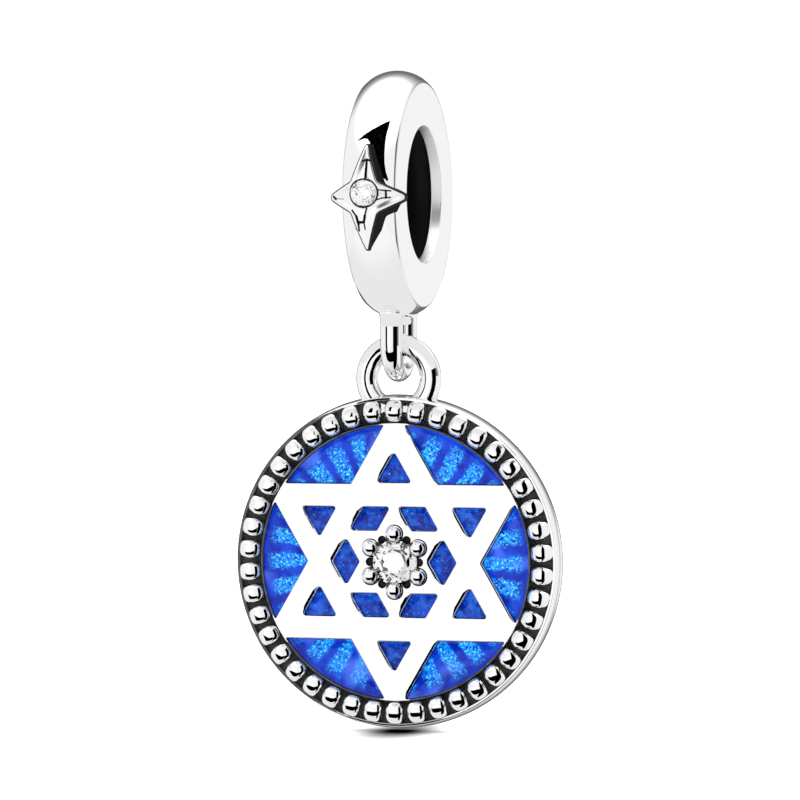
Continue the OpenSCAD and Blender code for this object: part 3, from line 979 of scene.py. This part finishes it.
# Each contour is points with directions, a bevel for each point and the slot of its wall
def plateContours():
    rim = [unit(fullTurn * k / disc["steps"]) for k in range(disc["steps"])]
    contours = [([(way * grooveIn, -way) for way in rim], [star["fenceBevel"]] * len(rim), 1)]
    for kind in cellKinds:
        for number in range(1, star["cells"] + 1):
            turn = cellTurn(kind, number)
            outline = [(turned(p, turn), turned(way, turn)) for p, way in cellOutline(kind)]
            contours.append((outline, cellBevels(kind, outline), 0))
    seat = seatOutline()
    contours.append((seat, [star["leastBevel"]] * len(seat), 1))
    return contours


# Fills the flat top between rings of points that are given by their numbers
def fillTop(verts, rings):
    flat = bmesh.new()
    numbers = {}
    for ring in rings:
        corners = [flat.verts.new(verts[number]) for number in ring]
        numbers.update(zip(corners, ring))
        for i, corner in enumerate(corners):
            flat.edges.new((corner, corners[(i + 1) % len(corners)]))
    filled = bmesh.ops.triangle_fill(flat, use_beauty=True, use_dissolve=False, edges=flat.edges[:],
                                     normal=(0, -1, 0))
    faces = [tuple(numbers[v] for v in part.verts) for part in filled["geom"]
             if isinstance(part, bmesh.types.BMFace)]
    flat.free()
    return faces


# One flat top with rounded edges round every opening, and walls down to the cells' floors
def makeStarPlate():
    verts, faces, slots, tops = [], [], [], []
    rows = [(0, star["flatRing"])] + [(k / star["steps"], 0) for k in range(star["steps"] + 1)]
    for outline, bevels, wall in plateContours():
        count, first = len(outline), len(verts)
        for share, extra in rows:
            a = share * math.pi / 2
            for (p, way), b in zip(outline, bevels):
                x, y = p + way * (b * (1 - math.sin(a)) + extra)
                verts.append(discPoint(x, y, starTop - b * (1 - math.cos(a))))
        verts += [discPoint(p[0], p[1], cellFloor - star["wallSink"]) for p, way in outline]
        for k in range(len(rows)):
            faces += strip(first + k * count, first + (k + 1) * count, count)
            slots += [wall if k == len(rows) - 1 else 0] * count
        tops.append(range(first, first + count))
    top = fillTop(verts, tops)
    faces += top
    slots += [0] * len(top)
    for i, face in enumerate(faces):      # the fence is black, but not where the star's tips meet it
        spots = [(verts[v][0], verts[v][2] - discZ) for v in face]
        middle = [sum(c) / len(face) for c in zip(*spots)]
        off = abs((math.degrees(math.atan2(middle[1], middle[0])) + 30) % 60 - 30)
        if off < star["tipFrom"] and min(math.hypot(*p) for p in spots) > cellRadius - star["tipNear"]:
            slots[i] = 1
    return newObject("starPlate", verts, faces, [silverSkin, blackSkin], slots)


# A bead is a rounded barrel that lies along the groove, flatter along it than across it
bead = {"count": 42, "half": 0.335, "radius": 0.40, "square": 0.68, "rings": 20, "sides": 32, "sink": 0.04,
        "out": 0.02}


def makeBeads():
    middle = (grooveOut + grooveIn) / 2 + bead["out"]
    height = disc["thick"] - bead["sink"]
    sides = bead["sides"]
    verts, faces = [], []
    for number in range(bead["count"]):
        out = unit(fullTurn * number / bead["count"] + math.pi / 2)
        along = np.array([-out[1], out[0]])
        first = len(verts)
        for k in range(1, bead["rings"]):
            a = math.pi * k / bead["rings"] - math.pi / 2
            s = math.copysign(abs(math.sin(a)) ** bead["square"], a) * bead["half"]
            r = math.cos(a) ** bead["square"] * bead["radius"]
            for j in range(sides):
                b = fullTurn * j / sides
                x, y = out * (middle + r * math.cos(b)) + along * s
                verts.append(discPoint(x, y, height + r * math.sin(b)))
        for k in range(bead["rings"] - 2):
            faces += strip(first + k * sides, first + (k + 1) * sides, sides)
        last = len(verts) - sides
        faces += [tuple(range(first, first + sides)), tuple(range(last, last + sides))]
    return newObject("beads", verts, faces, [silverSkin])


def makeClaws():
    verts, faces = [], []
    sides, radius = claws["sides"], claws["radius"]
    middle = starTop + claws["lift"]
    for number in range(claws["count"]):
        turn = 360 * number / claws["count"] + 90
        first = len(verts)
        for k in range(claws["rings"] + 1):
            a = math.pi * k / claws["rings"]
            for j in range(sides):
                u, v = radius * math.sin(a) * unit(fullTurn * j / sides)
                u = claws["reach"] + (u * claws["inward"] if u < 0 else u)
                verts.append(discPoint(*turned((u, v), turn), middle + radius * math.cos(a)))
        for k in range(claws["rings"]):
            faces += strip(first + k * sides, first + (k + 1) * sides, sides)
    return newObject("claws", verts, faces, [silverSkin])


ring = {"wire": 0.77, "bore": 1.51, "steps": 144}


def makeRing():
    middle = (ring["bore"] + ring["wire"]) / 2
    z = swingZ - middle
    path = [(middle * math.sin(a), 0, z + middle * math.cos(a))
            for a in np.linspace(0, fullTurn, ring["steps"], False)]
    return tube("ring", path, [ring["wire"] / 2] * len(path), (0, 1, 0), [silverSkin], closed=True)


# The ledge round the centre stone, a ring painted dark as shade
ledge = {"inner": 0.785, "drop": 0.07, "over": 0.006, "sink": 0.02}


def makeLedge():
    low, top = cellFloor - ledge["sink"], starTop - ledge["drop"]
    outer = [p + way * ledge["over"] for p, way in seatOutline()]
    inner = [p / np.linalg.norm(p) * ledge["inner"] for p in outer]
    rows = ((inner, low), (inner, top), (outer, top), (outer, low))
    verts = [discPoint(p[0], p[1], h) for row, h in rows for p in row]
    count = len(outer)
    faces = []
    for k in range(len(rows)):
        faces += strip(k * count, (k + 1) % len(rows) * count, count)
    return newObject("ledge", verts, faces, [paintedShadeSkin])


medallion = joinAll("medallionSilver", [makeDiscBody(), makeStarPlate(), makeBeads(), makeClaws(),
                                        makeLedge(), makeRing()])
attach(medallion, "pendant")
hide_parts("medallion")
print("medallion made")

# Enamel: one piece for each cell, with a meniscus that climbs to the walls
enamel = {"gap": 0.02, "drop": 0.13, "sag": 0.1, "climb": 0.11, "rings": 22, "crowding": 1.6}


# How deep the enamel has sunk at a point of the +X cell: nothing at the walls, all of it between
def sunk(kind, point):
    inset = star["inset"][kind] + enamel["gap"]
    middles = [np.array(m) for m in cornerMiddles(kind, inset)]
    share = 1.0
    for k, m in enumerate(middles):
        way = middles[(k + 1) % len(middles)] - m
        way = np.array([way[1], -way[0]]) / np.linalg.norm(way)
        gap = star["round"][kind] - (point - m).dot(way)
        if kind == "segment" and k == 1:
            gap = cellRadius - inset - np.linalg.norm(point)
        share *= 1 - math.exp(-max(gap, 0) / enamel["climb"])
    return share


def makeEnamelPiece(kind, number, material):
    outline = np.array([p for p, way in cellOutline(kind, enamel["gap"])])
    centre = outline.mean(0)
    count = len(outline)
    top = starTop - enamel["drop"]
    points = [(p, cellFloor + enamel["gap"]) for p in outline]
    for k in range(enamel["rings"]):
        row = centre + (outline - centre) * (1 - (k / enamel["rings"]) ** enamel["crowding"])
        points += [(p, top - enamel["sag"] * sunk(kind, p)) for p in row]
    points.append((centre, top - enamel["sag"] * sunk(kind, centre)))
    verts = [discPoint(*turned(p, cellTurn(kind, number)), h) for p, h in points]
    faces = []
    for k in range(enamel["rings"]):
        faces += strip(k * count, (k + 1) * count, count)
    last = enamel["rings"] * count
    faces += [(last + i, last + (i + 1) % count, len(verts) - 1) for i in range(count)]
    faces.append(tuple(range(count)))
    return newObject("enamel%s%d" % (kind.capitalize(), number), verts, faces, [material])


for kind in cellKinds:
    for number in range(1, star["cells"] + 1):
        piece = makeEnamelPiece(kind, number, brightSkin if kind == "segment" else deepSkin)
        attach(piece, "pendant")
        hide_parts("enamel_%s_%d" % (kind, number))
print("enamel made")

# The stones keep their cut solids and get the clear materials
for name, skin in (("centre_stone", clearSkin), ("bail_stone", smallClearSkin)):
    stone = frame["nodes"][name]
    stone.data.materials.clear()
    stone.data.materials.append(skin)
print("stones dressed")

scene = bpy.context.scene
scene.view_settings.view_transform = "Standard"
scene.view_settings.look = "None"
